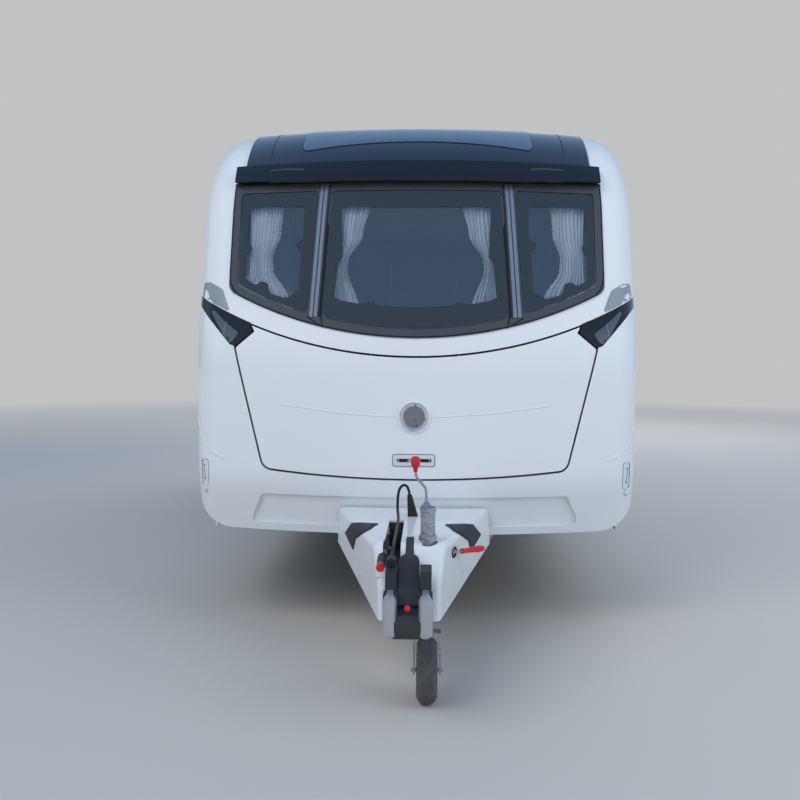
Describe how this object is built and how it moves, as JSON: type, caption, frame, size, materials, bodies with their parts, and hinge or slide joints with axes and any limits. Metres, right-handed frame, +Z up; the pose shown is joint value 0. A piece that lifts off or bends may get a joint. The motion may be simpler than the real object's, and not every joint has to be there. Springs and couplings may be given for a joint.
{
  "type": "travel caravan",
  "caption": "Single-axle touring caravan with a curved panoramic front, A-frame coupling, jockey wheel, gas locker lid, entrance door and corner steadies",
  "frame": {"origin": "on the ground, under the middle of the overall length and width", "axes": "+X to the nearside (the entrance door), -Y to the front (the coupling), +Z up"},
  "size_m": [2.29, 7.34, 2.685],
  "materials": {
    "black_plastic": "satin black",
    "galvanised_steel": "hot-dip galvanised",
    "tinted_glass": "grey-tinted acrylic",
    "black_gloss": "gloss black",
    "cable_rubber": "matte",
    "white_moulding": "gloss white, as moulded or painted",
    "cast_silver": "silver paint",
    "curtain_cloth": "woven",
    "floor_board": "satin",
    "tyre_rubber": "matte",
    "bright_chrome": "chrome",
    "furniture_board": "satin",
    "seat_cloth": "woven",
    "marker_white": "moulded lens",
    "rear_lamp_red": "moulded lens",
    "alloy": "painted silver",
    "smoked_dome": "smoked acrylic",
    "white_plastic": "satin",
    "dark_grey_surround": "dark metallic grey"
  },
  "bodies": {
    "caravan": {"awning_rails": "black_plastic", "axle_tube": "galvanised_steel", "body_windows": "tinted_glass", "brow": "black_gloss", "cable": "cable_rubber", "cable_boot": "cable_rubber", "chassis_rails": "galvanised_steel", "corner_lamps": "black_gloss", "coupling_head": "cast_silver", "coupling_lever": "black_plastic", "cross_members": "galvanised_steel", "curtains": "curtain_cloth", "door_hinges": "galvanised_steel", "drawbar": "galvanised_steel", "fairing": "white_moulding", "fairing_pads": "black_plastic", "floor": "floor_board", "front_cap": "white_moulding", "front_moulding": "white_moulding", "front_panes": "tinted_glass", "handbrake_lever": "black_plastic", "jockey_crank": "galvanised_steel", "jockey_tube": "galvanised_steel", "lid_fittings": "bright_chrome", "locker_bulkhead": "furniture_board", "lounge_seats": "seat_cloth", "marker_lamps": "marker_white", "overrun": "cast_silver", "plug": "cable_rubber", "rear_bumper": "white_moulding", "rear_lamps": "rear_lamp_red", "rear_panel": "white_moulding", "roof": "white_moulding", "rooflight_domes": "smoked_dome", "rooflight_frames": "white_plastic", "side_skirts": "white_moulding", "sunroof": "black_gloss", "trailing_arms": "galvanised_steel", "wall_nearside": "white_moulding", "wall_offside": "white_moulding", "wheel_boxes": "white_plastic", "window_surround": "dark_grey_surround"},
    "wheel_nearside": {"tyre_nearside": "tyre_rubber", "rim_nearside": "alloy"},
    "wheel_offside": {"tyre_offside": "tyre_rubber", "rim_offside": "alloy"},
    "front_locker_lid": {"locker_lid": "white_moulding"},
    "entrance_door": {"entrance_door": "white_moulding", "door_window": "tinted_glass"},
    "wet_locker_door": {"wet_locker_door": "white_moulding"},
    "cassette_door": {"cassette_door": "white_moulding"},
    "jockey_slide": {"jockey_stem": "galvanised_steel"},
    "jockey_caster": {"jockey_fork": "galvanised_steel"},
    "jockey_roller": {"jockey_wheel": "tyre_rubber"},
    "steady_front_nearside": {"steady_front_nearside": "galvanised_steel"},
    "steady_front_offside": {"steady_front_offside": "galvanised_steel"},
    "steady_rear_nearside": {"steady_rear_nearside": "galvanised_steel"},
    "steady_rear_offside": {"steady_rear_offside": "galvanised_steel"}
  },
  "joints": [
    {"name": "wheel_nearside_spin", "type": "hinge", "parent": "caravan", "child": "wheel_nearside", "pos_m": [0.985, 0.7, 0.315], "axis": [1, 0, 0], "continuous": true},
    {"name": "wheel_offside_spin", "type": "hinge", "parent": "caravan", "child": "wheel_offside", "pos_m": [-0.985, 0.7, 0.315], "axis": [1, 0, 0], "continuous": true},
    {"name": "front_locker_lid_hinge", "type": "hinge", "parent": "caravan", "child": "front_locker_lid", "pos_m": [0, -2.436, 1.47], "axis": [-1, 0, 0], "range_deg": [0, 75]},
    {"name": "entrance_door_hinge", "type": "hinge", "parent": "caravan", "child": "entrance_door", "pos_m": [1.137, -0.528, 1.4], "axis": [0, 0, -1], "range_deg": [0, 165]},
    {"name": "wet_locker_hinge", "type": "hinge", "parent": "caravan", "child": "wet_locker_door", "pos_m": [-1.137, -1.29, 0.633], "axis": [0, -1, 0], "range_deg": [0, 170]},
    {"name": "cassette_door_hinge", "type": "hinge", "parent": "caravan", "child": "cassette_door", "pos_m": [-1.137, 2.733, 0.83], "axis": [0, 0, 1], "range_deg": [0, 165]},
    {"name": "jockey_wind", "type": "slide", "parent": "caravan", "child": "jockey_slide", "axis": [0, 0, 1], "range_m": [0, 0.07]},
    {"name": "jockey_swivel", "type": "hinge", "parent": "jockey_slide", "child": "jockey_caster", "pos_m": [0.072, -3.265, 0.275], "axis": [0, 0, 1], "continuous": true},
    {"name": "jockey_roll", "type": "hinge", "parent": "jockey_caster", "child": "jockey_roller", "pos_m": [0.072, -3.325, 0.13], "axis": [1, 0, 0], "continuous": true},
    {"name": "steady_front_nearside_hinge", "type": "hinge", "parent": "caravan", "child": "steady_front_nearside", "pos_m": [0.88, -1.96, 0.478], "axis": [-1, 0, 0], "range_deg": [0, 60]},
    {"name": "steady_front_offside_hinge", "type": "hinge", "parent": "caravan", "child": "steady_front_offside", "pos_m": [-0.88, -1.96, 0.478], "axis": [-1, 0, 0], "range_deg": [0, 60]},
    {"name": "steady_rear_nearside_hinge", "type": "hinge", "parent": "caravan", "child": "steady_rear_nearside", "pos_m": [0.88, 3.05, 0.478], "axis": [1, 0, 0], "range_deg": [0, 60]},
    {"name": "steady_rear_offside_hinge", "type": "hinge", "parent": "caravan", "child": "steady_rear_offside", "pos_m": [-0.88, 3.05, 0.478], "axis": [1, 0, 0], "range_deg": [0, 60]}
  ]
}
